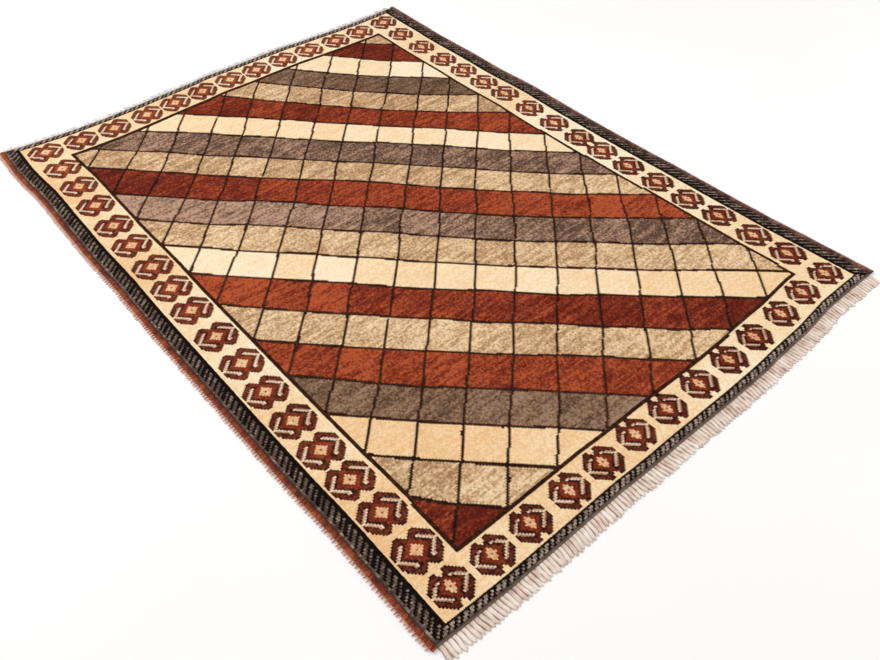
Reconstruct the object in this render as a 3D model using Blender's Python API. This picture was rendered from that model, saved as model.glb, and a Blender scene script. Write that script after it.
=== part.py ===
"""Hand-knotted gabbeh rug lying flat: the knotted body, two overcast side cords and two fringed end strips."""

import bmesh
import bpy
import numpy as np

MM = 0.001
PIECE_GAP = 0.3 * MM

# Knotted body, between the side cords and between the outer edges of the end strips
BODY_WIDTH = 1452 * MM
BODY_LENGTH = 1958 * MM
PILE_HEIGHT = 10 * MM
PILE_SWELL = 0.5 * MM
SWELLS_ACROSS = 3.5
SWELLS_ALONG = 4.5
RIM_HEIGHT = 7 * MM
RIM_ROUNDING = 6 * MM

# Flat-woven end strips and their warp fringe
STRIP_DEPTH = 9 * MM
STRIP_HEIGHT = 3.5 * MM
STRANDS_PER_END = 144
ROOT_SHARE = 0.62
NEAR_FRINGE = 37 * MM
FAR_FRINGE = 34 * MM
FRINGE_UNEVEN = 0.14
FRINGE_LEAN = 0.16
LEAN_WAVES = 3
LEAN_JITTER = 0.05

# Side cords, the right one overcast over a thicker bundle of warps
CORD_WIDTH = {"left": 13 * MM, "right": 19 * MM}
CORD_HEIGHT = {"left": 7.5 * MM, "right": 8.5 * MM}
WRAPS = 244
YARN_END = 6 * MM
PLAIN_RINGS = 56
CORD_UNEVEN = 0.6 * MM

# Outward bow of each edge in millimetres at evenly spaced places.
# The sides run from the near end to the far end, and the ends from left to right.
BOW = {
    "left": (-1, -2, -3, 1, 2, 2, 2, 2, -1, 1, -2, -6, 1, -6),
    "right": (12, 6, -1, -3, -3, -6, -6, -3, 3, -3, 1, 0, 6, 12),
    "near": (-8, -3, -1, -1, -1, -1, 3, 3, 6, 8, 8, 4, 3, -7, -6, -4),
    "far": (8, -4, -12, -15, -11, -4, 1, 10, 8, 10, 11, 4, 0, -3, 0, 4),
}
# Straight runs that stand for each bowed edge, so that neighbours share their corners
SIDE_RUNS = 28
END_RUNS = 24

# A side cord's section: share of its width outwards, share of its height, share of the yarn end that it takes
CORD_SECTION = (
    ("inner foot", 0.00, 0.00, 0.0),
    ("inner top", 0.00, 0.75, 0.0),
    ("crest", 0.45, 1.00, 0.0),
    ("outer foot", 1.00, 0.00, 1.0),
)

# A fringe strand after its root: share of its length, share of the root's width, height in mm, share of its lean
STRAND_RUN = (
    ("middle", 0.50, 0.92, 3.8, 0.35),
    ("tip", 1.00, 0.50, 2.2, 1.00),
)

FINISHES = {
    "rug_pile": ((0.41, 0.22, 0.12), 0.95),
    "selvedge_left": ((0.27, 0.05, 0.02), 0.90),
    "selvedge_right": ((0.12, 0.05, 0.03), 0.90),
    "fringe_near": ((0.62, 0.48, 0.38), 0.85),
    "fringe_far": ((0.45, 0.39, 0.35), 0.85),
}


def eased(values, places):
    """A smooth run through evenly spaced values, read at places from 0 to 1."""
    values = np.asarray(values, float)
    along = np.clip(places, 0, 1) * (len(values) - 1)
    low = np.minimum(along.astype(int), len(values) - 2)
    share = (1 - np.cos(np.pi * (along - low))) / 2
    return values[low] * (1 - share) + values[low + 1] * share


def bow(edge, places):
    """How far an edge bows outwards, in straight runs between its stations."""
    stations = np.linspace(0, 1, (SIDE_RUNS if edge in ("left", "right") else END_RUNS) + 1)
    return np.interp(places, stations, eased(BOW[edge], stations)) * MM


def lie(across, along):
    """Where a place of the cloth lies on the floor: across from left to right, along from near to far."""
    across, along = np.broadcast_arrays(np.asarray(across, float), np.asarray(along, float))
    left = -BODY_WIDTH / 2 - bow("left", along)
    right = BODY_WIDTH / 2 + bow("right", along)
    near = -BODY_LENGTH / 2 - bow("near", across)
    far = BODY_LENGTH / 2 + bow("far", across)
    return left + (right - left) * across, near + (far - near) * along


def rug_object(name, bm):
    """Turns a finished mesh into one named piece with its own material."""
    bmesh.ops.recalc_face_normals(bm, faces=bm.faces)
    mesh = bpy.data.meshes.new(name)
    bm.to_mesh(mesh)
    bm.free()
    mesh.shade_smooth()
    mesh.set_sharp_from_angle(angle=np.radians(35))
    colour, roughness = FINISHES[name]
    material = bpy.data.materials.new(name)
    material.use_nodes = True
    shader = material.node_tree.nodes["Principled BSDF"]
    shader.inputs["Base Color"].default_value = (*colour, 1)
    shader.inputs["Roughness"].default_value = roughness
    shader.inputs["Metallic"].default_value = 0.0
    mesh.materials.append(material)
    piece = bpy.data.objects.new(name, mesh)
    return piece


def sweep(bm, rings):
    """A closed bar: the first ring's face is extruded from ring to ring, and its open start is filled."""
    face = bm.faces.new([bm.verts.new(point) for point in rings[0]])
    for ring in rings[1:]:
        face = bmesh.ops.extrude_discrete_faces(bm, faces=[face])["faces"][0]
        for vert, point in zip(face.verts, ring):
            vert.co = point
    bmesh.ops.holes_fill(bm, edges=[edge for edge in bm.edges if edge.is_boundary])
    bmesh.ops.recalc_face_normals(bm, faces=bm.faces)


def rim_stations(runs, low, high, length):
    """Places across the pile: both rims, the ends of their rounding and the edge's own stations between."""
    rounding = RIM_ROUNDING / length
    inner = [station for station in np.linspace(0, 1, runs + 1) if low + rounding < station < high - rounding]
    return np.array([low, low + rounding, *inner, high - rounding, high])


def make_pile():
    """The knotted body: a grid laid in the bowed outline, round at its rim, with a flat underside."""
    end_share = STRIP_DEPTH / BODY_LENGTH
    columns = rim_stations(END_RUNS, 0, 1, BODY_WIDTH)
    rows = rim_stations(SIDE_RUNS, end_share, 1 - end_share, BODY_LENGTH)
    bm = bmesh.new()
    made = bmesh.ops.create_grid(bm, x_segments=len(columns) - 1, y_segments=len(rows) - 1, size=0.5)
    for vert in made["verts"]:
        column = round((vert.co.x + 0.5) * (len(columns) - 1))
        row = round((vert.co.y + 0.5) * (len(rows) - 1))
        x, y = lie(columns[column], rows[row])
        swell = np.sin(2 * np.pi * SWELLS_ACROSS * columns[column]) * np.cos(2 * np.pi * SWELLS_ALONG * rows[row])
        on_rim = column in (0, len(columns) - 1) or row in (0, len(rows) - 1)
        vert.co = (x, y, RIM_HEIGHT if on_rim else PILE_HEIGHT + PILE_SWELL * swell)
    under = bmesh.ops.extrude_face_region(bm, geom=bm.faces[:], use_keep_orig=True)
    for item in under["geom"]:
        if isinstance(item, bmesh.types.BMVert):
            item.co.z = 0
    return rug_object("rug_pile", bm)


def make_cord(side, rings, yarn_end):
    """A side cord with a flat underside. Every other ring reaches out by the loose end of a wrap."""
    outwards = -1 if side == "left" else 1
    along = np.linspace(0, 1, rings + 1)
    x, y = lie(0 if side == "left" else 1, along)
    uneven = CORD_UNEVEN * np.sin(np.linspace(0, 2 * np.pi * rings / 9, rings + 1))
    bm = bmesh.new()
    sweep(bm, [
        [
            (
                x[k] + outwards * (PIECE_GAP + out * (CORD_WIDTH[side] + uneven[k]) + end * yarn_end * (k % 2)),
                y[k],
                up * (CORD_HEIGHT[side] + uneven[k]),
            )
            for _, out, up, end in CORD_SECTION
        ]
        for k in range(rings + 1)
    ])
    return rug_object("selvedge_" + side, bm)


def strip_rings(end):
    """The end strip's four-cornered rings, three to a strand: a gap's middle and both sides of the root."""
    strand = np.arange(STRANDS_PER_END)[:, None]
    places = (strand + np.array([0, 0.5 - ROOT_SHARE / 2, 0.5 + ROOT_SHARE / 2])).ravel() / STRANDS_PER_END
    places = np.append(places, 1)
    share = STRIP_DEPTH / BODY_LENGTH
    outwards = -1 if end == "near" else 1
    x_in, y_in = lie(places, share if end == "near" else 1 - share)
    x_out, y_out = lie(places, 0 if end == "near" else 1)
    y_in = y_in + outwards * PIECE_GAP
    return [
        [
            (x_in[k], y_in[k], 0),
            (x_in[k], y_in[k], STRIP_HEIGHT),
            (x_out[k], y_out[k], STRIP_HEIGHT),
            (x_out[k], y_out[k], 0),
        ]
        for k in range(len(places))
    ]


def grow_strand(bm, root, outwards, length, lean):
    """One bundle of warp ends, extruded from its root and resting on the floor all along."""
    middle = root.calc_center_median()
    half_width = max(vert.co.x for vert in root.verts) - middle.x
    face = root
    for _, reach, width, height, leaning in STRAND_RUN:
        face = bmesh.ops.extrude_discrete_faces(bm, faces=[face])["faces"][0]
        here = face.calc_center_median()
        for vert in face.verts:
            side = 1 if vert.co.x > here.x else -1
            top = vert.co.z > here.z
            vert.co = (
                middle.x + lean * leaning * length + side * half_width * width,
                middle.y + outwards * reach * length,
                height * MM if top else 0,
            )


def make_fringe(end, length, seed):
    """An end strip with its row of strands, each a little longer or shorter than its neighbours."""
    outwards = -1 if end == "near" else 1
    bm = bmesh.new()
    sweep(bm, strip_rings(end))
    front = [face for face in bm.faces if face.normal.y * outwards > 0.9]
    front.sort(key=lambda face: face.calc_center_median().x)
    random = np.random.default_rng(seed)
    for k, root in enumerate(front[1::3]):
        wave = np.sin(2 * np.pi * LEAN_WAVES * k / STRANDS_PER_END)
        lean = FRINGE_LEAN * wave + random.uniform(-LEAN_JITTER, LEAN_JITTER)
        grow_strand(bm, root, outwards, length * (1 - random.uniform(0, FRINGE_UNEVEN)), lean)
    return rug_object("fringe_" + end, bm)


def centred_on_floor(pieces):
    """Hangs the pieces on an empty that puts the middle of their outline over the origin."""
    corners = np.array([vert.co[:] for piece in pieces for vert in piece.data.vertices])
    middle = (corners.min(axis=0) + corners.max(axis=0)) / 2
    rug = bpy.data.objects.new("gabbeh_rug", None)
    rug.location = (-middle[0], -middle[1], 0)
    for piece in pieces:
        piece.parent = rug
    return rug


for old in list(bpy.data.objects):
    bpy.data.objects.remove(old, do_unlink=True)
collection = bpy.data.collections.new("gabbeh_rug")
bpy.context.scene.collection.children.link(collection)
pieces = [
    make_pile(),
    make_cord("left", 2 * WRAPS, YARN_END),
    make_cord("right", PLAIN_RINGS, 0),
    make_fringe("near", NEAR_FRINGE, seed=11),
    make_fringe("far", FAR_FRINGE, seed=12),
]
for piece in [centred_on_floor(pieces), *pieces]:
    collection.objects.link(piece)
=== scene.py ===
"""Hand-knotted gabbeh rug on a pale floor: knots, overcast side cords, flat-woven ends and warp fringe."""
import math

import bpy
import numpy as np
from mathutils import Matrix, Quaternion, Vector


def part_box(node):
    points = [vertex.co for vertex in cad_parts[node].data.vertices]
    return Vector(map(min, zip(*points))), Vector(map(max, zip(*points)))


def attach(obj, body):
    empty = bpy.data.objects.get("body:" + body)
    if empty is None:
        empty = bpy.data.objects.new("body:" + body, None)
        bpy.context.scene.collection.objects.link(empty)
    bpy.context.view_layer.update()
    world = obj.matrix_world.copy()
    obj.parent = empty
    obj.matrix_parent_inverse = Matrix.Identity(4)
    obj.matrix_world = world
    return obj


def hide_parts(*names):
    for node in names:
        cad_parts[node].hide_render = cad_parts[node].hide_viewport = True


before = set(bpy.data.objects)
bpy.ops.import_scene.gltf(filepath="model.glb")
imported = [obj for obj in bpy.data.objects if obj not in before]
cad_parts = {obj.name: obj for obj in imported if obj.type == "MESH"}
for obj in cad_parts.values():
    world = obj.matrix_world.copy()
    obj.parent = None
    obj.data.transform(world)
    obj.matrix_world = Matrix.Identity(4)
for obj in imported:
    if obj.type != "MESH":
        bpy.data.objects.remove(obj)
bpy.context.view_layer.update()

MM = 0.001
PIECE_GAP = 0.3 * MM

# The cloth as the weaver measured it, before it was laid down
BODY_WIDTH = 1452 * MM
BODY_LENGTH = 1958 * MM
STRIP_DEPTH = 9 * MM
STRIP_HEIGHT = 3.5 * MM
PILE_HEIGHT = 10 * MM
PILE_SWELL = 0.5 * MM
SWELLS_ACROSS = 3.5
SWELLS_ALONG = 4.5
FOUNDATION = 2.6 * MM

# Outward bow of each edge in millimetres, sides from near to far and ends from left to right
BOW = {
    "left": (-1, -2, -3, 1, 2, 2, 2, 2, -1, 1, -2, -6, 1, -6),
    "right": (12, 6, -1, -3, -3, -6, -6, -3, 3, -3, 1, 0, 6, 12),
    "near": (-8, -3, -1, -1, -1, -1, 3, 3, 6, 8, 8, 4, 3, -7, -6, -4),
    "far": (8, -4, -12, -15, -11, -4, 1, 10, 8, 10, 11, 4, 0, -3, 0, 4),
}
# Straight runs that stand for each bowed edge
SIDE_RUNS = 28
END_RUNS = 24

# Knots of the rug, and how many of them each part of the design takes, from the edge inwards
KNOTS_ACROSS = 316
KNOTS_ALONG = 422
GUARD = {  # outer line, barber pole, inner line
    "left": (1, 5, 2),
    "right": (0, 6, 2),
    "near": (0, 3, 1),
    "far": (0, 4, 1),
}
BORDER = {"left": 24, "right": 25, "near": 19, "far": 22}
FRAME_LINE = {"left": 2, "right": 2, "near": 2, "far": 3}
GUARD_KNOTS = {edge: sum(parts) for edge, parts in GUARD.items()}
FIELD_LEFT = GUARD_KNOTS["left"] + BORDER["left"]
FIELD_RIGHT = KNOTS_ACROSS - GUARD_KNOTS["right"] - BORDER["right"]
FIELD_NEAR = GUARD_KNOTS["near"] + BORDER["near"]
FIELD_FAR = KNOTS_ALONG - GUARD_KNOTS["far"] - BORDER["far"]
# Barber poles: rows risen for each knot across, rows from stripe to stripe,
# dark share of those rows, tone of the rest
POLES = {
    "left": (1, 3.8, 0.56, 0.42),
    "right": (-1, 3.8, 0.66, 0.60),
    "near": (1, 3.4, 0.52, 0.80),
    "far": (1, 3.6, 0.58, 1.00),
}

# Where the lattice's two families of lines meet the field's frame, in knots from the pile's near left corner
LATTICE = {
    "falling": {
        "left": (56, 86, 117, 148, 179, 213.5, 245, 276, 307, 339, 374),
        "far": (46, 77.5, 107.5, 141.5, 170.5, 198.5, 230.5, 261.5),
        "near": (61, 92.5, 124, 155, 190, 221, 254.5),
        "right": (28, 59.5, 91, 122.5, 151.5, 183.5, 212.5, 247, 277.5, 308, 339, 374),
    },
    "rising": {
        "left": (27.5, 58, 88, 118.5, 149.5, 180.5, 216.5, 246, 277, 309, 340.5, 374.5),
        "far": (52, 85, 113, 146.5, 173.5, 206.5, 238, 268.5),
        "near": (62, 93, 125.5, 158, 190.5, 222.5, 256.5),
        "right": (55, 89.5, 120.5, 151, 181, 212, 245.5, 277.5, 307.5, 337.5, 372.5),
    },
}
# How many knots the falling lines that start at the far frame sag to the left
FAR_SLACK = (0, 0, 0, 6, 5.5, 3.5, 1, 0)
# Width of the lines in knots, how far they stray from straight, and the rows from one stray to the next
FALLING_KNOTS = 2.4
RISING_KNOTS = 2.0
LINE_WOBBLE = 0.9
WOBBLE_ROWS = 14
# Where the weaver's count slipped, at even steps from the field's near end to its far end:
# knots by which the field's middle lies nearer, and by which its right edge lies further right
MIDDLE_SLIP = (0, 1.3, 2.8, 4.0, 4.5, 3.8, 2.1, 1.2, 1.7, 2.4, 2.2, 0.3, 0)
RIGHT_SLIP = (2.0, 3.3, 3.5, 2.9, 2.1, 1.5, 0.6, 0.1, 0, 0, 0, 0, 0)
# Knots by which the field's near edge lies further along, from left to right,
# and by which its near left corner lies further left
NEAR_SLIP = (1.5, 1.0, 0.8, 0.7, 0.7, 0.6, 0.8, 1.8, 2.3, 2.3)
CORNER_SLIP = 1.0
# How fast both fade along the rug
NEAR_FADE = 8

# Diagonal bands from the near left corner to the far right one:
# yarn, its tone at the rug's left and its tone at the rug's right
BANDS = (
    ("rust", 0.20, 0.15),
    ("beige", 0.48, 0.40),
    ("cream", 0.15, 0.60),
    ("dark taupe", 0.50, 0.75),
    ("rust", 0.75, 0.20),
    ("beige", 0.45, 0.60),
    ("rust", 0.90, -0.05),
    ("cream", 0.85, 0.30),
    ("beige", 0.55, 0.50),
    ("taupe", 0.80, 0.05),
    ("rust", 0.18, 1.00),
    ("beige", 0.45, 0.50),
    ("taupe", 0.40, 0.25),
    ("cream", 0.60, 0.70),
    ("rust", 0.15, 0.65),
    ("beige", 0.45, 0.35),
    ("dark taupe", 0.45, 0.20),
    ("cream", 0.70, 0.75),
    ("rust", 0.15, 0.25),
    ("beige", 0.45, 0.45),
)
# How far one lozenge's tone strays from its band's, and one flower's from the others'
LOZENGE_LOT = 0.18
FLOWER_LOT = 0.15
# The border's cream is paler towards the right
BORDER_TONE = (0.1, 0.7)
BORDER_STRAY = 0.2
PALER_RIGHT = 0.45

# Middles of the border's flowers in knots.
# At the ends: their row at the left and at the right, then their columns.
# At the sides: their column at the near end and at the far end, then their rows.
END_FLOWERS = {
    "near": ((14, 15.4), (19.5, 41, 64, 87, 110, 132.5, 155.5, 179, 203, 226.5, 252, 274.5, 297)),
    "far": ((406, 406), (21, 43.5, 67, 90, 113, 135, 157.5, 179.5, 202, 225.5, 249.5, 273, 297)),
}
SIDE_FLOWERS = {
    "left": (
        (19.3, 21.3),
        (35, 57.5, 80, 101, 123, 145.5, 169, 193, 218, 240, 262.5, 286, 309, 334, 358, 382),
    ),
    "right": (
        (297.4, 295.6),
        (38, 60, 84, 106.5, 129, 151.5, 173.5, 194.5, 217, 241, 265.5, 287, 309, 331, 356.5, 382.5),
    ),
}
# Rows of a flower, and knots from its side to its middle. A narrower one leaves out the chart's spare column.
FLOWER_SIZE = {"near": (18, 10), "far": (20, 11), "left": (20, 11), "right": (20, 10)}
SPARE_COLUMN = 8
# Left half and middle of one flower, charted with a letter to each knot
FLOWER = (
    ".....DDD...",
    "....DMMMD..",
    "...DMMMMMD.",
    "..DMMDDDMMD",
    ".DMMDwcDDRR",
    "DMMDwcDDRRR",
    "DMDwcDDRRRP",
    "DDwcDDRRRPP",
    "DwcDDRRRPPP",
    ".cDDRRRPPPo",
    "DwcDDRRRPPP",
    "DDwcDDRRRPP",
    "DMDwcDDRRRP",
    "DMMDwcDDRRR",
    ".DMMDwcDDRR",
    "..DMMDDDMMD",
    "...DMMMMMD.",
    "....DMMMD..",
    ".....DDD...",
)
# Each letter's yarn, with its tone at the near end, where the dye lot is darker, and at the far end
FLOWER_YARN = {
    "D": ("flower brown", 0.20, 0.75),
    "M": ("maroon", 0.15, 0.80),
    "R": ("flower rust", 0.10, 0.70),
    "P": ("peach", 0.40, 0.70),
    "c": ("pale line", 0.60, 0.90),
    "w": ("pale line", 0.28, 0.55),
    "o": ("taupe", 0.20, 0.50),
}

# Yarns in the order of the pile's material slots: deep, middle and pale shade, how streaky, how flecked
YARNS = {
    "cream": ("#e9b984", "#f4d3a6", "#fbe8ca", 0.10, 0.22),
    "beige": ("#a07a57", "#cfa87f", "#ecd0a6", 0.26, 0.36),
    "taupe": ("#573f33", "#8f6e5a", "#bd987f", 0.28, 0.38),
    "dark taupe": ("#4b3728", "#7b5d47", "#9e7f67", 0.22, 0.36),
    "rust": ("#581a10", "#82331e", "#b35430", 0.22, 0.32),
    "maroon": ("#451710", "#6a2c1c", "#87432f", 0.15, 0.35),
    "flower rust": ("#6b2414", "#87381f", "#a4512f", 0.15, 0.35),
    "peach": ("#cf9163", "#e2b081", "#efcba2", 0.10, 0.30),
    "pale line": ("#64301f", "#d9ae8e", "#f6dfc8", 0.05, 0.12),
    "dark brown": ("#1f0f08", "#33190d", "#4b2917", 0.15, 0.40),
    "flower brown": ("#26100a", "#4c2412", "#744026", 0.10, 0.40),
    "near black": ("#070301", "#100804", "#22150c", 0.15, 0.40),
    "guard taupe": ("#44362d", "#65534a", "#b09c8b", 0.18, 0.30),
}

# Tufts of the pile: depth of the valleys between them, and how unevenly they are shorn and packed
VALLEY = 1.3 * MM
TUFT_UNEVEN = 0.35 * MM
CORNER_SHIFT = 0.45 * MM
RIM_ROUNDING = 7 * MM
RIM_DROP = 3 * MM
SKIRT_TONE = 0.3
FIELD_PARTS = ("near", "middle", "far")
# Streaks of one length of yarn: knots in each, and how much is its own and how much its neighbour rows share
STREAK_KNOTS = 8
OWN_STREAK = 0.95
SHARED_STREAK = 0.45

# Warp fringe: full bundles at the near end, a thin worn one at the far end
BUNDLES_PER_END = 144
YARNS_PER_BUNDLE = {"near": 9, "far": 5}
BUNDLE_HALF_WIDTH = {"near": 4.7 * MM, "far": 5.5 * MM}
BUNDLE_ARCH = {"near": 2.0 * MM, "far": 0.3 * MM}
BUNDLE_BEND = 1.2 * MM
BUNDLE_TONE = (-0.18, 0.12)
FRINGE_LENGTH = {"near": 35 * MM, "far": 30 * MM}
SHORTEST_SHARE = {"near": 0.93, "far": 0.20}
SIDES_SHORTER = 0.16
STRAND_DRIFT = {"near": 0.8 * MM, "far": 5 * MM}
ROOT_OVERLAP = 2 * MM
FRINGE_SEED = {"near": 11, "far": 12}
FRINGE_UNEVEN = 0.14
FRINGE_LEAN = 0.16
LEAN_WAVES = 3
LEAN_JITTER = 0.05
WARP_RADIUS = {"near": 1.15 * MM, "far": 0.45 * MM}
THINNEST_WARP = 0.85
WARP_TIP = 0.6
WARP_RIPPLE = 0.4
FRINGE_RINGS = 8
# A bundle is narrowest before its tips: share of its width lost there, and share lost at the tips
WAIST = 0.12
TIPS_NARROWER = 0.08
# Tone of a bundle's middle, and how much painted shade darkens its sides and its roots
WARP_TONE = 0.25
SIDES_PAINTED_SHADE = 0.55
ROOTS_PAINTED_SHADE = 0.25
TONE_STRAY = 0.15

# Overcast side cords
CORD_WIDTH = {"left": 13 * MM, "right": 19 * MM}
CORD_HEIGHT = {"left": 7.5 * MM, "right": 8.5 * MM}
CORD_SEED = {"left": 31, "right": 32}
WRAPS = 488
WRAP_RADIUS = 2.1 * MM
WRAP_MARGIN = 0.0015
POINTS_A_WRAP = 10
# How unevenly the wraps are pulled tight, sideways and upwards
WRAP_UNEVEN = (0.3 * MM, 0.2 * MM)
# How far a wrap's tone strays, how much painted shade darkens its side towards the pile, and the cord's own
# tone
WRAP_STRAY = 0.3
PILE_SIDE_PAINTED_SHADE = 0.25
CORD_TONE = -0.05

# Loose yarn ends on the left cord, in pairs
YARN_END = 6 * MM
LOOSE_ENDS = 222
ENDS_MARGIN = 0.003
ENDS_UNEVEN = 0.12
END_REACH = (1.1, 1.45)
LESS_WORN = 0.3
BRUSHED = (2.5 * MM, 4.5 * MM)
END_RADIUS = 1.25 * MM
END_TAPER = (0.8, 1, 1, 0.95, 0.85, 0.45)
END_ROOT = 0.45
END_ROOT_HEIGHT = 0.72
PAIR_SPREAD = 0.45 * MM
SHORTER_OF_PAIR = 0.9
# Tone of the ends at their roots, and how much paler their tips are
END_TONE = -0.50
TIPS_PALER = 0.80

# Wool hairs on the right cord: where on its round they stand, in half turns from outside over the top
HAIRS = 3200
HAIR_RADIUS = 0.22 * MM
HAIR_MARGIN = 0.002
HAIR_ARC = (-0.15, 0.75)
HAIR_ROOT_DEPTH = 0.6 * MM
HAIR_REACH = (1.5 * MM, 4.0 * MM)
HAIR_LEAN = 3 * MM
HAIR_ARCH = 0.4 * MM
HAIR_TONE = (-0.3, 0.4)

# Weft ribs of the flat-woven end strips
RIB_ROWS = 4
RIB_HEIGHT = 0.8 * MM
LOW_RIB = 0.6
RIBS_A_KNOT = 2
STRIP_EDGE_DROP = 1.2 * MM

# Wool seen close to: its refraction, its spun fibres, the streaks of its dye,
# and the shades and hairs of plied yarn, whose real hairs are too fine to show
WOOL_IOR = 1.54
DRAWN_FIBRE = 2 * MM
DYE_STREAK = (50 * MM, 5 * MM, 50 * MM)
SHADES_PER_METRE = 35.0
HAIRS_PER_METRE = 650.0
# Brings the wave texture's diagonal ridges 2.3 ply widths apart
PLY_SCALE = 6.3

# The photograph's view, from its solved perspective
LENS = 33.35
SENSOR = 36.0
CAMERA_FROM_MIDDLE = (-1110.7 * MM, -1390.6 * MM, 1404.8 * MM)
LOOK = (0.46019, 0.51175, -0.72549)
ROLL_DEGREES = 0.89


def eased(values, places):
    """A smooth run through evenly spaced values, read at places from 0 to 1."""
    values = np.asarray(values, float)
    along = np.clip(places, 0, 1) * (len(values) - 1)
    low = np.minimum(along.astype(int), len(values) - 2)
    share = (1 - np.cos(np.pi * (along - low))) / 2
    return values[low] * (1 - share) + values[low + 1] * share


def bow(edge, places):
    """How far an edge bows outwards, in straight runs between its stations."""
    stations = np.linspace(0, 1, (SIDE_RUNS if edge in ("left", "right") else END_RUNS) + 1)
    return np.interp(places, stations, eased(BOW[edge], stations)) * MM


def lie_about_middle(across, along):
    """Where a place of the cloth lies, from the middle of the cloth: across and along run from 0 to 1."""
    across, along = np.broadcast_arrays(np.asarray(across, float), np.asarray(along, float))
    left = -BODY_WIDTH / 2 - bow("left", along)
    right = BODY_WIDTH / 2 + bow("right", along)
    near = -BODY_LENGTH / 2 - bow("near", across)
    far = BODY_LENGTH / 2 + bow("far", across)
    return left + (right - left) * across, near + (far - near) * along


def middle_of_cloth():
    """Where the frame holds the middle of the cloth, from the box of its pile."""
    low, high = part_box("rug_pile")
    share = STRIP_DEPTH / BODY_LENGTH
    round_trip = np.linspace(0, 1, SIDE_RUNS * END_RUNS + 1)
    sides = lie_about_middle(np.array([[0], [1]]), share + (1 - 2 * share) * round_trip)[0]
    ends = lie_about_middle(round_trip, np.array([[share], [1 - share]]))[1]
    return (
        (low[0] + high[0] - sides.min() - sides.max()) / 2,
        (low[1] + high[1] - ends.min() - ends.max()) / 2,
    )


MIDDLE = middle_of_cloth()


def lie(across, along):
    """Where a place of the cloth lies on the floor."""
    x, y = lie_about_middle(across, along)
    return x + MIDDLE[0], y + MIDDLE[1]


def pile_share(rows):
    """Share of the cloth's length at a row of knots, which start and end beside the end strips."""
    share = STRIP_DEPTH / BODY_LENGTH
    return share + (1 - 2 * share) * np.asarray(rows, float) / KNOTS_ALONG


def new_piece(name, points, faces, materials, nodes):
    """One joined mesh from arrays, which rides on the rug and stands for its CAD nodes."""
    mesh = bpy.data.meshes.new(name)
    mesh.vertices.add(len(points))
    mesh.vertices.foreach_set("co", np.asarray(points, np.float32).ravel())
    mesh.loops.add(faces.size)
    mesh.loops.foreach_set("vertex_index", faces.astype(np.int32).ravel())
    mesh.polygons.add(len(faces))
    mesh.polygons.foreach_set("loop_start", np.arange(0, faces.size, faces.shape[1], dtype=np.int32))
    mesh.polygons.foreach_set("use_smooth", np.ones(len(faces), bool))
    mesh.update(calc_edges=True)
    for material in materials:
        mesh.materials.append(material)
    piece = bpy.data.objects.new(name, mesh)
    bpy.context.scene.collection.objects.link(piece)
    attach(piece, "root")
    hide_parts(*nodes)
    return piece


def face_values(mesh, name, values):
    """Stores one number for each face under a name that the materials read."""
    mesh.attributes.new(name, "FLOAT", "FACE").data.foreach_set("value", np.asarray(values, np.float32))


def laid_flat(piece, margin):
    """A map of the piece as seen from above, in metres shrunk to fit, for its baked colours."""
    mesh = piece.data
    places = np.empty(len(mesh.vertices) * 3, np.float32)
    mesh.vertices.foreach_get("co", places)
    places = places.reshape(-1, 3)
    outwards = np.sign(places[:, :2]) * np.maximum(0, margin - places[:, 2:3])
    flat = places[:, :2] + outwards
    flat = (flat - flat.min(axis=0)) / np.ptp(flat, axis=0).max()
    corners = np.empty(len(mesh.loops), np.int32)
    mesh.loops.foreach_get("vertex_index", corners)
    mesh.uv_layers.new(name="OFBake").data.foreach_set("uv", flat[corners].astype(np.float32).ravel())


# The design, knot by knot


def lattice_lines():
    """Both families of diagonal lines: each line's two ends, as (column, row), and its sag."""
    inner = {
        "left": FIELD_LEFT + FRAME_LINE["left"],
        "right": FIELD_RIGHT - FRAME_LINE["right"],
        "near": FIELD_NEAR + FRAME_LINE["near"],
        "far": FIELD_FAR - FRAME_LINE["far"],
    }

    def ends(family, edge):
        places = LATTICE[family][edge]
        if edge in ("left", "right"):
            return [(inner[edge], row) for row in places]
        return [(column, inner[edge]) for column in places]

    straight = [0] * len(LATTICE["falling"]["left"])
    falling = zip(
        ends("falling", "left") + ends("falling", "far"),
        ends("falling", "near") + ends("falling", "right"),
        straight + list(FAR_SLACK),
    )
    upper = ends("rising", "left")[::-1] + ends("rising", "near")
    lower = ends("rising", "far") + ends("rising", "right")[::-1]
    rising = zip(upper, lower, [0] * len(upper))
    return list(falling), list(rising)


def drawn_places():
    """Row and column of each knot in the weaver's drawing, which slips a little from the cloth's own."""
    rows, columns = np.mgrid[0:KNOTS_ALONG, 0:KNOTS_ACROSS] + 0.5
    along = (rows - FIELD_NEAR) / (FIELD_FAR - FIELD_NEAR)
    across = np.clip((columns - FIELD_LEFT) / (FIELD_RIGHT - FIELD_LEFT), 0, 1)
    nearer = eased(MIDDLE_SLIP, along) * np.sin(np.pi * across)
    at_near_end = (1 - np.clip(along, 0, 1)) ** NEAR_FADE
    nearer = nearer - eased(NEAR_SLIP, across) * at_near_end
    further_right = eased(RIGHT_SLIP, along) * across ** 2 - CORNER_SLIP * (1 - across) * at_near_end
    return rows + nearer, columns - further_right


def line_columns(line, rows, random):
    """The column at which a slightly unsteady diagonal line crosses each row."""
    (column_a, row_a), (column_b, row_b), slack = line
    run = (rows - row_a) / (row_b - row_a)
    free = np.sin(np.pi * np.clip(run, 0, 1))
    wobble = eased(random.uniform(-LINE_WOBBLE, LINE_WOBBLE, KNOTS_ALONG // WOBBLE_ROWS), rows / KNOTS_ALONG)
    return column_a + run * (column_b - column_a) - slack * free + wobble * np.clip(4 * free, 0, 1)


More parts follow.
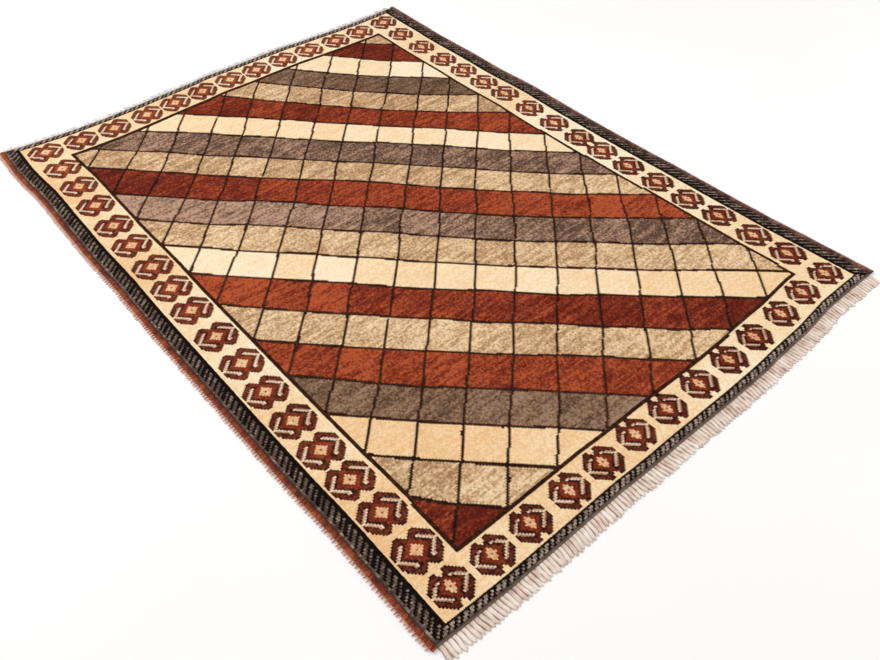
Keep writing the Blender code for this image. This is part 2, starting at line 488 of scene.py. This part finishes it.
def lay_field(yarn, tone):
    """Diagonal bands of one yarn each, crossed by thin dark lines that cut them into lozenges."""
    random = np.random.default_rng(21)
    falling, rising = lattice_lines()
    rows, columns = drawn_places()
    bands = np.zeros(yarn.shape, int)
    cells = np.zeros(yarn.shape, int)
    on_line = np.zeros(yarn.shape, bool)
    for count, family, wide in ((bands, falling, FALLING_KNOTS), (cells, rising, RISING_KNOTS)):
        for line in family:
            away = columns - line_columns(line, rows, random)
            count += away > 0
            on_line |= np.abs(away) < wide / 2
    order = list(YARNS)
    band_yarn = np.array([order.index(name) for name, _, _ in BANDS])
    start = np.array([first for _, first, _ in BANDS])
    end = np.array([last for _, _, last in BANDS])
    lots = random.uniform(-LOZENGE_LOT, LOZENGE_LOT, (len(BANDS), len(rising) + 1))
    yarn[:] = np.where(on_line, order.index("dark brown"), band_yarn[bands])
    tone[:] = start[bands] + (end - start)[bands] * (columns / KNOTS_ACROSS) + lots[bands, cells]


def lay_flower(yarn, tone, column, row, edge, lot):
    """One flower round a middle given in knots, from its chart and the chart's mirror image."""
    far_share = row / KNOTS_ALONG
    tall, wide = FLOWER_SIZE[edge]
    lowest = round(row - tall / 2)
    first = round(column - wide + 0.5)
    for step in range(tall):
        # A quarter of a row lower, so that the chart's middle row is woven once
        half = FLOWER[round(step * (len(FLOWER) - 1) / (tall - 1) - 0.25)]
        if wide < len(half):
            half = half[:SPARE_COLUMN] + half[SPARE_COLUMN + 1:]
        for k, letter in enumerate(half + half[-2::-1]):
            if letter != ".":
                name, near, far = FLOWER_YARN[letter]
                yarn[lowest + step, first + k] = list(YARNS).index(name)
                tone[lowest + step, first + k] = lot + near + (far - near) * far_share


def lay_border(yarn, tone):
    """The cream border with its row of flowers, and the dark line that frames the field."""
    random = np.random.default_rng(22)
    order = list(YARNS)
    rows, columns = drawn_places()
    low = (FIELD_LEFT, FIELD_NEAR)
    high = (FIELD_RIGHT, FIELD_FAR)
    framed = (columns > low[0]) & (columns < high[0]) & (rows > low[1]) & (rows < high[1])
    field = framed & (columns > low[0] + FRAME_LINE["left"]) & (columns < high[0] - FRAME_LINE["right"])
    field &= (rows > low[1] + FRAME_LINE["near"]) & (rows < high[1] - FRAME_LINE["far"])
    yarn[framed & ~field] = order.index("dark brown")
    tone[framed & ~field] = 0.5
    border = ~framed
    yarn[border] = order.index("cream")
    along = np.arange(KNOTS_ALONG)[:, None] / KNOTS_ALONG
    across = np.arange(KNOTS_ACROSS)[None, :] / KNOTS_ACROSS
    paleness = eased(random.uniform(*BORDER_TONE, 14), along)
    paleness = paleness + eased(random.uniform(-BORDER_STRAY, BORDER_STRAY, 9), across)
    tone[border] = (paleness + PALER_RIGHT * across)[border]
    for edge, ((row_left, row_right), middles) in END_FLOWERS.items():
        for column in middles:
            row = row_left + (row_right - row_left) * column / KNOTS_ACROSS
            lay_flower(yarn, tone, column, row, edge, random.uniform(-FLOWER_LOT, FLOWER_LOT))
    for edge, ((column_near, column_far), middles) in SIDE_FLOWERS.items():
        for row in middles:
            column = column_near + (column_far - column_near) * row / KNOTS_ALONG
            lay_flower(yarn, tone, column, row, edge, random.uniform(-FLOWER_LOT, FLOWER_LOT))
    return border


def lay_guards(yarn, tone):
    """The barber-pole guard all round, with a black line inside it and at the left a taupe one outside."""
    order = list(YARNS)
    rows, columns = np.mgrid[0:KNOTS_ALONG, 0:KNOTS_ACROSS]
    inwards = {
        "left": columns - GUARD_KNOTS["left"],
        "right": KNOTS_ACROSS - 1 - columns - GUARD_KNOTS["right"],
        "near": rows - GUARD_KNOTS["near"],
        "far": KNOTS_ALONG - 1 - rows - GUARD_KNOTS["far"],
    }
    deepest = np.minimum.reduce(list(inwards.values()))
    guard = deepest < 0
    for edge, depth in inwards.items():
        here = guard & (depth == deepest)
        rise, pitch, dark_share, pale_tone = POLES[edge]
        turn = np.mod(rows - rise * columns, pitch) / pitch
        outer, _, inner = GUARD[edge]
        dark = (turn < dark_share) | (depth >= -inner)
        dark &= depth >= outer - GUARD_KNOTS[edge]
        yarn[here] = np.where(dark, order.index("near black"), order.index("guard taupe"))[here]
        tone[here] = np.where(dark, 0.5, pale_tone)[here]
    return guard


def abrash(yarn):
    """Streaks along the rows, where one length of hand-spun yarn comes out darker than the next."""
    random = np.random.default_rng(25)
    places = np.linspace(0, 1, KNOTS_ACROSS)
    lengths = random.uniform(-1, 1, (KNOTS_ALONG, KNOTS_ACROSS // STREAK_KNOTS))
    own = np.array([eased(row, places) for row in lengths])
    shared = (np.roll(own, 1, axis=0) + own + np.roll(own, -1, axis=0)) / 2
    streaky = np.array([shades[3] for shades in YARNS.values()])
    return (OWN_STREAK * own + SHARED_STREAK * shared) * streaky[yarn]


def surface(across, along):
    """Height of the pile's surface: gentle swells, and round towards the rim."""
    x, y = across * BODY_WIDTH, along * BODY_LENGTH
    from_rim = np.minimum(
        np.minimum(x, BODY_WIDTH - x),
        np.minimum(y - STRIP_DEPTH, BODY_LENGTH - STRIP_DEPTH - y),
    )
    round_off = 1 - np.clip(from_rim / RIM_ROUNDING, 0, 1)
    swell = np.sin(2 * np.pi * SWELLS_ACROSS * across) * np.cos(2 * np.pi * SWELLS_ALONG * along)
    return PILE_HEIGHT + PILE_SWELL * swell - RIM_DROP * round_off ** 2


def pile_points():
    """Corner points between the tufts and one top for each tuft, all a little uneven."""
    random = np.random.default_rng(23)
    rows, columns = np.mgrid[0:KNOTS_ALONG + 1, 0:KNOTS_ACROSS + 1].astype(float)
    x, y = lie(columns / KNOTS_ACROSS, pile_share(rows))
    z = surface(columns / KNOTS_ACROSS, pile_share(rows)) - VALLEY
    inside = np.ones(rows.shape)
    inside[[0, -1]] = 0
    inside[:, [0, -1]] = 0
    x = x + random.uniform(-CORNER_SHIFT, CORNER_SHIFT, x.shape) * inside
    y = y + random.uniform(-CORNER_SHIFT, CORNER_SHIFT, y.shape) * inside
    z = z + random.uniform(-TUFT_UNEVEN, TUFT_UNEVEN, z.shape)
    corners = np.stack([x, y, z], axis=-1)
    rows, columns = np.mgrid[0:KNOTS_ALONG, 0:KNOTS_ACROSS] + 0.5
    x, y = lie(columns / KNOTS_ACROSS, pile_share(rows))
    x = x + random.uniform(-CORNER_SHIFT, CORNER_SHIFT, x.shape)
    y = y + random.uniform(-CORNER_SHIFT, CORNER_SHIFT, y.shape)
    z = surface(columns / KNOTS_ACROSS, pile_share(rows))
    z = z + random.uniform(-TUFT_UNEVEN, TUFT_UNEVEN, x.shape)
    tops = np.stack([x, y, z], axis=-1)
    return corners, tops


def pile_piece(name, mask, corners, tops, yarn, tone, materials, skirt=False):
    """The tufts under a mask as one mesh, four faces to a knot."""
    rows, columns = np.nonzero(mask)
    across = KNOTS_ACROSS + 1
    first = rows * across + columns
    ring = np.stack([first, first + 1, first + 1 + across, first + across], axis=1)
    top = corners.shape[0] * across + rows * KNOTS_ACROSS + columns
    tops_again = np.repeat(top[:, None], 4, axis=1)
    faces = np.stack([ring, np.roll(ring, -1, axis=1), tops_again], axis=2).reshape(-1, 3)
    points = np.concatenate([corners.reshape(-1, 3), tops.reshape(-1, 3)])
    knot_yarn = np.repeat(yarn[mask], 4)
    knot_tone = np.repeat(tone[mask], 4)
    # Tufts lean towards the near end, so a knot's far face is covered by the next row's yarn
    next_row = np.minimum(rows + 1, KNOTS_ALONG - 1)
    knot_yarn[2::4] = yarn[next_row, columns]
    knot_tone[2::4] = tone[next_row, columns]
    tuft = np.repeat(np.random.default_rng(24).uniform(0, 1, len(rows)), 4)
    if skirt:
        rim = rim_ring(across, corners.shape[0])
        low = points[rim] * [1, 1, 0] + [0, 0, FOUNDATION / 2]
        below = np.arange(len(rim)) + len(points)
        points = np.concatenate([points, low])
        after = np.roll(np.arange(len(rim)), -1)
        sides = np.concatenate([
            np.stack([rim, below, rim[after]], axis=1),
            np.stack([rim[after], below, below[after]], axis=1),
        ])
        faces = np.concatenate([faces, sides])
        edge_yarn = np.full(len(sides), list(YARNS).index("guard taupe"))
        knot_yarn = np.concatenate([knot_yarn, edge_yarn])
        knot_tone = np.concatenate([knot_tone, np.full(len(sides), SKIRT_TONE)])
        tuft = np.concatenate([tuft, np.full(len(sides), 0.5)])
    used, faces = np.unique(faces, return_inverse=True)
    piece = new_piece(name, points[used], faces.reshape(-1, 3), materials, ["rug_pile"])
    piece.data.polygons.foreach_set("material_index", knot_yarn.astype(np.int32))
    face_values(piece.data, "dye_lot", knot_tone)
    face_values(piece.data, "tuft", tuft)
    laid_flat(piece, PILE_HEIGHT / 2)
    return piece


def rim_ring(across, along):
    """Indices of the corner grid's rim, anticlockwise from its near left corner."""
    grid = np.arange(across * along).reshape(along, across)
    return np.concatenate([grid[0, :-1], grid[:-1, -1], grid[-1, :0:-1], grid[:0:-1, 0]])


def make_pile(materials):
    """Knots of the whole rug, split into guard, border and three lengths of field."""
    yarn = np.zeros((KNOTS_ALONG, KNOTS_ACROSS), int)
    tone = np.full(yarn.shape, 0.5)
    lay_field(yarn, tone)
    border = lay_border(yarn, tone)
    guard = lay_guards(yarn, tone)
    tone = np.clip(tone + abrash(yarn), 0, 1)
    corners, tops = pile_points()
    rows = np.arange(KNOTS_ALONG)[:, None]
    thirds = rows * len(FIELD_PARTS) // KNOTS_ALONG
    pieces = [
        pile_piece("pile_guard", guard, corners, tops, yarn, tone, materials, skirt=True),
        pile_piece("pile_border", border & ~guard, corners, tops, yarn, tone, materials),
    ]
    for k, part in enumerate(FIELD_PARTS):
        mask = ~border & (thirds == k)
        pieces.append(pile_piece("pile_field_" + part, mask, corners, tops, yarn, tone, materials))
    return pieces


# Sheets, cords and fringe


def make_foundation(material):
    """The warp and weft under the pile: a thin closed sheet in the rug's outline, level on the floor."""
    columns = np.linspace(0, 1, END_RUNS + 1)
    rows = pile_share(np.linspace(0, KNOTS_ALONG, 2 * SIDE_RUNS + 1))
    x, y = lie(columns[None, :], rows[:, None])
    low = np.stack([x, y, np.zeros_like(x)], axis=-1).reshape(-1, 3)
    high = low + [0, 0, FOUNDATION]
    across, along = len(columns), len(rows)
    grid = np.arange(across * along).reshape(along, across)
    quads = np.stack([grid[:-1, :-1], grid[:-1, 1:], grid[1:, 1:], grid[1:, :-1]], axis=-1).reshape(-1, 4)
    rim = rim_ring(across, along)
    after = np.roll(rim, -1)
    lift = across * along
    sides = np.stack([rim, after, after + lift, rim + lift], axis=1)
    faces = np.concatenate([quads[:, ::-1], quads + lift, sides])
    points = np.concatenate([low, high])
    piece = new_piece("foundation", points, faces, [material], ["rug_pile"])
    piece.data.set_sharp_from_angle(angle=math.radians(40))
    return piece


def tubes(paths, radii, sides):
    """Points and wall faces of round tubes along paths (count, rings, 3) with radii (count, rings)."""
    count, rings, _ = paths.shape
    ahead = np.gradient(paths, axis=1)
    ahead /= np.linalg.norm(ahead, axis=2, keepdims=True)
    across = np.cross(ahead, [0.0, 0.0, 1.0])
    across /= np.linalg.norm(across, axis=2, keepdims=True)
    up = np.cross(across, ahead)
    turn = np.arange(sides) * 2 * np.pi / sides
    ring = across[:, :, None] * np.cos(turn)[:, None] + up[:, :, None] * np.sin(turn)[:, None]
    points = paths[:, :, None] + ring * radii[:, :, None, None]
    index = np.arange(count * rings * sides).reshape(count, rings, sides)
    after = np.roll(index, -1, axis=2)
    walls = np.stack([index[:, :-1], index[:, 1:], after[:, 1:], after[:, :-1]], axis=-1)
    return points.reshape(-1, 3), walls.reshape(-1, 4)


def closing_quads(count, rings, sides):
    """Quads that close both ends of tubes whose rings have an even number of sides."""
    index = np.arange(count * rings * sides).reshape(count, rings, sides)
    found = []
    for k in range(sides // 2 - 1):
        corners = [k, k + 1, sides - 2 - k, sides - 1 - k]
        found.append(index[:, 0, corners])
        found.append(index[:, -1, corners[::-1]])
    return np.concatenate(found)


def make_yarns(name, paths, radii, tones, material, nodes, sides=6):
    """Round yarns as one mesh, each stretch between two rings with its own tone for the material to read."""
    points, walls = tubes(paths, radii, sides)
    faces = np.concatenate([walls, closing_quads(*radii.shape, sides)])
    piece = new_piece(name, points, faces, [material], nodes)
    caps = [tones[:, 0], tones[:, -1]] * (sides // 2 - 1)
    face_values(piece.data, "yarn_tone", np.concatenate([np.repeat(tones, sides), *caps]))
    return piece


def make_strands(end, material):
    """Bundles of warp ends on the floor, each arched and longer in its middle, with painted shade darkening
    its sides and roots.
    """
    random = np.random.default_rng(FRINGE_SEED[end])
    loose = np.random.default_rng(FRINGE_SEED[end] + 20)
    outwards = -1 if end == "near" else 1
    radius = WARP_RADIUS[end]
    places = (np.arange(BUNDLES_PER_END) + 0.5) / BUNDLES_PER_END
    root_x, root_y = lie(places, 0.0 if end == "near" else 1.0)
    run = np.linspace(0, 1, FRINGE_RINGS)
    gather = 1 - WAIST * np.sin(np.pi * np.minimum(run * 1.2, 1)) - TIPS_NARROWER * run ** 3
    paths = []
    radii = []
    tones = []
    for k in range(BUNDLES_PER_END):
        wave = np.sin(2 * np.pi * LEAN_WAVES * k / BUNDLES_PER_END)
        lean = FRINGE_LEAN * wave + random.uniform(-LEAN_JITTER, LEAN_JITTER)
        length = FRINGE_LENGTH[end] * (1 - random.uniform(0, FRINGE_UNEVEN))
        bend = loose.uniform(-BUNDLE_BEND, BUNDLE_BEND)
        bundle_tone = loose.uniform(*BUNDLE_TONE)
        for share in np.linspace(-1, 1, YARNS_PER_BUNDLE[end]):
            drift = loose.uniform(-1, 1) * STRAND_DRIFT[end]
            own = length * loose.uniform(SHORTEST_SHARE[end], 1.0) * (1 - SIDES_SHORTER * share ** 2)
            x = root_x[k] + share * BUNDLE_HALF_WIDTH[end] * gather + drift * run ** 2
            x = x + lean * own * run ** 1.5 + bend * np.sin(2 * np.pi * run)
            y = root_y[k] + outwards * (own * run - ROOT_OVERLAP * (1 - run))
            arch = (1 - share ** 2) * BUNDLE_ARCH[end] * np.cos(np.pi / 2 * run ** 2)
            ripple = np.sin(loose.uniform(0, 6) + 5 * run) ** 2 * np.sin(np.pi * run)
            paths.append(np.stack([x, y, radius + arch + WARP_RIPPLE * radius * ripple], axis=1))
            radii.append(radius * loose.uniform(THINNEST_WARP, 1.0) * np.where(run == 1, WARP_TIP, 1.0))
            # Painted shade: the bundles are darker at their sides, where one meets the next, and at their
            # roots
            tone = WARP_TONE - SIDES_PAINTED_SHADE * share ** 4 + bundle_tone
            tone = tone + loose.uniform(-TONE_STRAY, TONE_STRAY)
            tones.append(tone - ROOTS_PAINTED_SHADE * (1 - run[1:]) ** 2)
    return make_yarns(
        "warp_ends_" + end, np.array(paths), np.array(radii), np.array(tones), material,
        ["fringe_" + end])


def make_strip(end, material):
    """The flat-woven end: weft ribs over the warp, closed all round and level on the floor."""
    columns = np.linspace(0, 1, KNOTS_ACROSS * RIBS_A_KNOT + 1)
    depth = np.linspace(0, 1, 2 * RIB_ROWS + 1)
    share = STRIP_DEPTH / BODY_LENGTH
    outwards = -1 if end == "near" else 1
    edge = 0.0 if end == "near" else 1.0
    inner_x, inner_y = lie(columns, edge - outwards * share)
    outer_x, outer_y = lie(columns, edge)
    inner_y = inner_y + outwards * PIECE_GAP
    x = inner_x[None] + (outer_x - inner_x)[None] * depth[:, None]
    y = inner_y[None] + (outer_y - inner_y)[None] * depth[:, None]
    over = np.arange(len(columns))[None, :] + np.arange(len(depth))[:, None] // 2
    rib = (np.arange(len(depth)) % 2)[:, None] * (LOW_RIB + (1 - LOW_RIB) * (over % 2))
    z = STRIP_HEIGHT - RIB_HEIGHT * (1 - rib) - STRIP_EDGE_DROP * (depth[:, None] ** 4)
    top = np.stack([x, y, z], axis=-1)
    bottom = top * [1, 1, 0]
    if outwards > 0:
        top, bottom = top[:, ::-1], bottom[:, ::-1]
    across, along = len(columns), len(depth)
    grid = np.arange(across * along).reshape(along, across)
    quads = np.stack([grid[:-1, :-1], grid[1:, :-1], grid[1:, 1:], grid[:-1, 1:]], axis=-1).reshape(-1, 4)
    rim = rim_ring(across, along)
    after = np.roll(rim, -1)
    lift = across * along
    sides = np.stack([rim, rim + lift, after + lift, after], axis=1)
    points = np.concatenate([top.reshape(-1, 3), bottom.reshape(-1, 3)])
    faces = np.concatenate([quads, quads[:, ::-1] + lift, sides])
    return new_piece("woven_end_" + end, points, faces, [material], ["fringe_" + end])


def make_cord(side, material):
    """The overcasting: one yarn wound round the side cord from end to end."""
    outwards = -1 if side == "left" else 1
    random = np.random.default_rng(CORD_SEED[side])
    steps = WRAPS * POINTS_A_WRAP
    turn = np.arange(steps + 1) / POINTS_A_WRAP
    along = WRAP_MARGIN + (1 - 2 * WRAP_MARGIN) * turn / WRAPS
    x, y = lie(0.0 if side == "left" else 1.0, along)
    angle = 2 * np.pi * turn
    each = random.uniform(-1, 1, WRAPS + 1)[np.minimum(turn.astype(int), WRAPS)]
    wide, high = CORD_WIDTH[side], CORD_HEIGHT[side]
    half_width = wide / 2 - WRAP_RADIUS + WRAP_UNEVEN[0] * each
    half_height = high / 2 - WRAP_RADIUS + WRAP_UNEVEN[1] * each
    path = np.stack([
        x + outwards * (PIECE_GAP + wide / 2 + half_width * np.cos(angle)),
        y,
        high / 2 + half_height * np.sin(angle),
    ], axis=1)[None]
    # Each wrap is painted darker on its side towards the pile, as painted shade
    tones = (WRAP_STRAY * each + PILE_SIDE_PAINTED_SHADE * np.cos(angle) + CORD_TONE)[None, 1:]
    radii = np.full((1, steps + 1), WRAP_RADIUS)
    return make_yarns("overcasting_" + side, path, radii, tones, material, ["selvedge_" + side])


def make_loose_ends(material):
    """Ends of the left cord's yarn, which stick out from about every other wrap like short teeth."""
    random = np.random.default_rng(33)
    run = np.linspace(0, 1, len(END_TAPER))
    start = END_ROOT * CORD_WIDTH["left"]
    height = END_ROOT_HEIGHT * CORD_HEIGHT["left"] * (1 - run ** 2) + END_RADIUS * run
    paths = []
    radii = []
    tones = []
    for k in range(LOOSE_ENDS):
        place = (k + 0.5 + random.uniform(-ENDS_UNEVEN, ENDS_UNEVEN)) / LOOSE_ENDS
        place = ENDS_MARGIN + (1 - 2 * ENDS_MARGIN) * place
        x, y = lie(0.0, place)
        # Less worn towards the far end, so longer there
        reach = CORD_WIDTH["left"] + YARN_END * random.uniform(*END_REACH) * (1 + LESS_WORN * place)
        # Brushed towards the far end
        lean = random.uniform(*BRUSHED)
        for part in (-1, 1):
            own = reach * random.uniform(SHORTER_OF_PAIR, 1.0)
            aside = part * PAIR_SPREAD + lean * run ** 2
            paths.append(np.stack([x - start - (own - start) * run, y + aside, height], axis=1))
            radii.append(END_RADIUS * np.array(END_TAPER))
            tones.append(random.uniform(-TONE_STRAY, TONE_STRAY) + END_TONE + TIPS_PALER * run[1:] ** 1.5)
    return make_yarns(
        "loose_ends_left", np.array(paths), np.array(radii), np.array(tones), material,
        ["selvedge_left"])


def make_hairs(material):
    """Wool hairs that stand out from the right cord and blur its edge."""
    random = np.random.default_rng(34)
    place = (np.arange(HAIRS) + random.uniform(0, 1, HAIRS)) / HAIRS
    place = HAIR_MARGIN + (1 - 2 * HAIR_MARGIN) * place
    x, y = lie(1.0, place)
    wide, high = CORD_WIDTH["right"], CORD_HEIGHT["right"]
    angle = random.uniform(*HAIR_ARC, HAIRS) * np.pi
    root = np.stack([
        x + PIECE_GAP + wide / 2 + (wide / 2 - HAIR_ROOT_DEPTH) * np.cos(angle),
        y,
        high / 2 + (high / 2 - HAIR_ROOT_DEPTH) * np.sin(angle),
    ], axis=1)
    reach = random.uniform(*HAIR_REACH, HAIRS)
    along = random.uniform(-HAIR_LEAN, HAIR_LEAN, HAIRS)
    tip = root + np.stack([reach * np.cos(angle), along, reach / 2 * np.sin(angle)], axis=1)
    tip[:, 2] = np.maximum(tip[:, 2], 2 * HAIR_RADIUS)
    middle = (root + tip) / 2 + [0, 0, HAIR_ARCH]
    paths = np.stack([root, middle, tip], axis=1)
    radii = np.full((HAIRS, 3), HAIR_RADIUS)
    tones = np.repeat(random.uniform(*HAIR_TONE, (HAIRS, 1)), 2, axis=1)
    return make_yarns(
        "hairs_right", paths, radii, tones, material, ["selvedge_right"], sides=4)


# Materials


def linear(hex_colour):
    """A linear RGBA colour from sRGB hex."""
    parts = [int(hex_colour[k:k + 2], 16) / 255 for k in (1, 3, 5)]
    return (*[c / 12.92 if c <= 0.04045 else ((c + 0.055) / 1.055) ** 2.4 for c in parts], 1.0)


def add(tree, kind, settings=(), **inputs):
    """A node with its settings, each input a value or the socket that feeds it."""
    node = tree.nodes.new(kind)
    for name, value in dict(settings).items():
        setattr(node, name, value)
    for name, value in inputs.items():
        socket = node.inputs[int(name[1:])] if name[1:].isdigit() else node.inputs[name.replace("_", " ")]
        if isinstance(value, bpy.types.NodeSocket):
            tree.links.new(value, socket)
        else:
            socket.default_value = value
    return node


def blank(name):
    """A material whose tree is empty but for its output."""
    material = bpy.data.materials.new(name)
    material.use_nodes = True
    tree = material.node_tree
    tree.nodes.clear()
    return material, tree, tree.nodes.new("ShaderNodeOutputMaterial")


def three_shades(tree, place, deep, middle, pale):
    """The yarn's colour from its deepest to its palest shade."""
    ramp = add(tree, "ShaderNodeValToRGB", Fac=place)
    ramp.color_ramp.elements[0].color = linear(deep)
    ramp.color_ramp.elements[1].color = linear(pale)
    ramp.color_ramp.elements.new(0.5).color = linear(middle)
    return ramp.outputs["Color"]


def cut_pile_wool(name, deep, middle, pale, streaky, flecked):
    """Hand-spun wool, knotted and shorn: matt and soft, each row and tuft a little off in shade."""
    material, tree, output = blank(name.replace(" ", "_") + "_wool_pile")
    place = add(tree, "ShaderNodeTexCoord").outputs["Object"]
    # Dye and fleece shift along the rows
    stretched = add(tree, "ShaderNodeVectorMath", {"operation": "DIVIDE"}, _0=place, _1=DYE_STREAK)
    streak = add(
        tree, "ShaderNodeTexNoise", Vector=stretched.outputs[0], Scale=1.0, Detail=3.0, Roughness=0.6)
    # Spun fibres 0.8 mm apart are too fine to show here, so they are drawn coarser
    fibre = add(
        tree, "ShaderNodeTexNoise", Vector=place, Scale=1 / DRAWN_FIBRE, Detail=2.0, Roughness=0.7)
    lot = add(tree, "ShaderNodeAttribute", {"attribute_name": "dye_lot"}).outputs["Fac"]
    tuft = add(tree, "ShaderNodeAttribute", {"attribute_name": "tuft"}).outputs["Fac"]
    streak_shift = add(
        tree, "ShaderNodeMapRange", Value=streak.outputs["Fac"],
        _1=0.3, _2=0.7, _3=-streaky / 2, _4=streaky / 2)
    tuft_shift = add(tree, "ShaderNodeMapRange", Value=tuft, _3=-flecked, _4=flecked)
    fibre_shift = add(
        tree, "ShaderNodeMapRange", Value=fibre.outputs["Fac"], _1=0.3, _2=0.7, _3=-0.15, _4=0.15)
    shade = lot
    for shift in (streak_shift, tuft_shift, fibre_shift):
        shade = add(tree, "ShaderNodeMath", {"operation": "ADD"}, _0=shade, _1=shift.outputs[0]).outputs[0]
    colour = three_shades(tree, shade, deep, middle, pale)
    rough = add(tree, "ShaderNodeMapRange", Value=fibre.outputs["Fac"], _3=0.82, _4=0.98)
    bump = add(tree, "ShaderNodeBump", Strength=0.5, Distance=0.6 * MM, Height=fibre.outputs["Fac"])
    shader = add(
        tree, "ShaderNodeBsdfPrincipled", Base_Color=colour, Roughness=rough.outputs[0],
        Normal=bump.outputs[0], IOR=WOOL_IOR, Specular_IOR_Level=0.08, Sheen_Weight=0.04,
        Sheen_Roughness=0.5, Sheen_Tint=linear(pale))
    tree.links.new(shader.outputs[0], output.inputs["Surface"])
    return material


def twisted_yarn(name, deep, middle, pale, ply_mm):
    """Plied yarn, undyed or dyed in the hank: round, slightly hairy, drifting in shade along its length."""
    material, tree, output = blank(name)
    place = add(tree, "ShaderNodeTexCoord").outputs["Object"]
    drift = add(
        tree, "ShaderNodeTexNoise", Vector=place, Scale=SHADES_PER_METRE, Detail=3.0, Roughness=0.6)
    hair = add(tree, "ShaderNodeTexNoise", Vector=place, Scale=HAIRS_PER_METRE, Detail=2.0, Roughness=0.7)
    # Plies wind round the yarn. They are too fine to show, so their ridges are drawn over twice as far apart
    ply = add(
        tree, "ShaderNodeTexWave", {"bands_direction": "DIAGONAL"}, Vector=place,
        Scale=1 / (PLY_SCALE * ply_mm * MM), Distortion=2.0, Detail=1.0)
    shift = add(
        tree, "ShaderNodeMath", {"operation": "MULTIPLY_ADD"}, _0=hair.outputs["Fac"], _1=0.5, _2=-0.25)
    tone = add(tree, "ShaderNodeAttribute", {"attribute_name": "yarn_tone"}).outputs["Fac"]
    shade = add(tree, "ShaderNodeMapRange", Value=drift.outputs["Fac"], _1=0.3, _2=0.7, _3=0.2, _4=0.8)
    shade = add(tree, "ShaderNodeMath", {"operation": "ADD"}, _0=shade.outputs[0], _1=shift.outputs[0])
    shade = add(tree, "ShaderNodeMath", {"operation": "ADD"}, _0=shade.outputs[0], _1=tone)
    colour = three_shades(tree, shade.outputs[0], deep, middle, pale)
    rough = add(tree, "ShaderNodeMapRange", Value=hair.outputs["Fac"], _3=0.75, _4=0.95)
    bump = add(tree, "ShaderNodeBump", Strength=0.6, Distance=0.4 * MM, Height=ply.outputs["Fac"])
    shader = add(
        tree, "ShaderNodeBsdfPrincipled", Base_Color=colour, Roughness=rough.outputs[0],
        Normal=bump.outputs[0], IOR=WOOL_IOR, Specular_IOR_Level=0.2, Sheen_Weight=0.08)
    tree.links.new(shader.outputs[0], output.inputs["Surface"])
    return material


def floor_paint():
    """Smooth painted studio floor: near white and even."""
    material, tree, output = blank("painted_floor")
    place = add(tree, "ShaderNodeTexCoord").outputs["Object"]
    cloud = add(tree, "ShaderNodeTexNoise", Vector=place, Scale=1.5, Detail=2.0)
    colour = three_shades(tree, cloud.outputs["Fac"], "#f7f6f4", "#f9f8f7", "#fbfbfa")
    shader = add(tree, "ShaderNodeBsdfPrincipled", Base_Color=colour, Roughness=0.9)
    tree.links.new(shader.outputs[0], output.inputs["Surface"])
    return material


# Studio


def make_floor():
    """A wide pale floor just under the rug."""
    bpy.ops.mesh.primitive_plane_add(size=30, location=(0, 0, -0.2 * MM))
    floor = bpy.context.object
    floor.name = "floor"
    floor.data.materials.append(floor_paint())


def make_light(name, location, size, power):
    """A soft square light that faces the rug."""
    lamp = bpy.data.lights.new(name, "AREA")
    lamp.size = size
    lamp.energy = power
    holder = bpy.data.objects.new(name, lamp)
    holder.location = location
    holder.rotation_mode = "QUATERNION"
    holder.rotation_quaternion = (-Vector(location)).to_track_quat("-Z", "Y")
    bpy.context.scene.collection.objects.link(holder)


def make_camera():
    """The photograph's camera: above the near left corner, looking down along the rug's diagonal."""
    camera = bpy.data.cameras.new("camera")
    camera.lens = LENS
    camera.sensor_width = SENSOR
    holder = bpy.data.objects.new("camera", camera)
    holder.location = Vector(CAMERA_FROM_MIDDLE) + Vector((*MIDDLE, 0))
    holder.rotation_mode = "QUATERNION"
    roll = Quaternion((0, 0, 1), math.radians(ROLL_DEGREES))
    holder.rotation_quaternion = Vector(LOOK).to_track_quat("-Z", "Y") @ roll
    bpy.context.scene.collection.objects.link(holder)
    bpy.context.scene.camera = holder


def make_world():
    """Even white light from all round."""
    world = bpy.data.worlds.new("studio")
    world.use_nodes = True
    world.node_tree.nodes["Background"].inputs["Color"].default_value = (1.0, 1.0, 1.0, 1.0)
    world.node_tree.nodes["Background"].inputs["Strength"].default_value = 0.75
    bpy.context.scene.world = world
    bpy.context.scene.view_settings.view_transform = "Standard"
    bpy.context.scene.view_settings.look = "None"


make_camera()
make_world()
make_floor()
make_light("key", (-1.5, 2.0, 3.2), 2.5, 60)
make_light("fill", (2.2, -1.8, 2.6), 2.5, 25)

pile_yarns = [cut_pile_wool(name, *shades) for name, shades in YARNS.items()]
rust_overcast = twisted_yarn("rust_overcast_wool", "#541c0c", "#8c3a1a", "#b86034", 1.5)
rust_ends = twisted_yarn("loose_rust_wool", "#7c3216", "#b9633a", "#e2a983", 1.5)
brown_overcast = twisted_yarn("brown_overcast_wool", "#40251a", "#7d5040", "#b08872", 1.5)
ivory_warp = twisted_yarn("ivory_wool_warp", "#9c7c6c", "#e3ccbb", "#fbf0e6", 0.8)
# The far fringe's warp is coloured grey-brown as painted shade, warp lying in shadow
far_warp_in_shade = twisted_yarn("far_wool_warp_painted_shade", "#8a766b", "#b9a79b", "#ddd2c9", 0.8)
brown_weft = twisted_yarn("brown_wool_weft", "#463830", "#6d5a4f", "#8f7c70", 1.2)
grey_weft = twisted_yarn("grey_wool_weft", "#6a5d54", "#8d8177", "#aca197", 1.2)
bare_weave = twisted_yarn("bare_warp_and_weft", "#6d5a4b", "#8f7a68", "#b39c87", 2.3)

foundation = make_foundation(bare_weave)
others = make_pile(pile_yarns)
others.append(make_cord("left", rust_overcast))
others.append(make_loose_ends(rust_ends))
others.append(make_cord("right", brown_overcast))
others.append(make_hairs(brown_overcast))
for end, weft, warp in (("near", brown_weft, ivory_warp), ("far", grey_weft, far_warp_in_shade)):
    others.append(make_strip(end, weft))
    others.append(make_strands(end, warp))
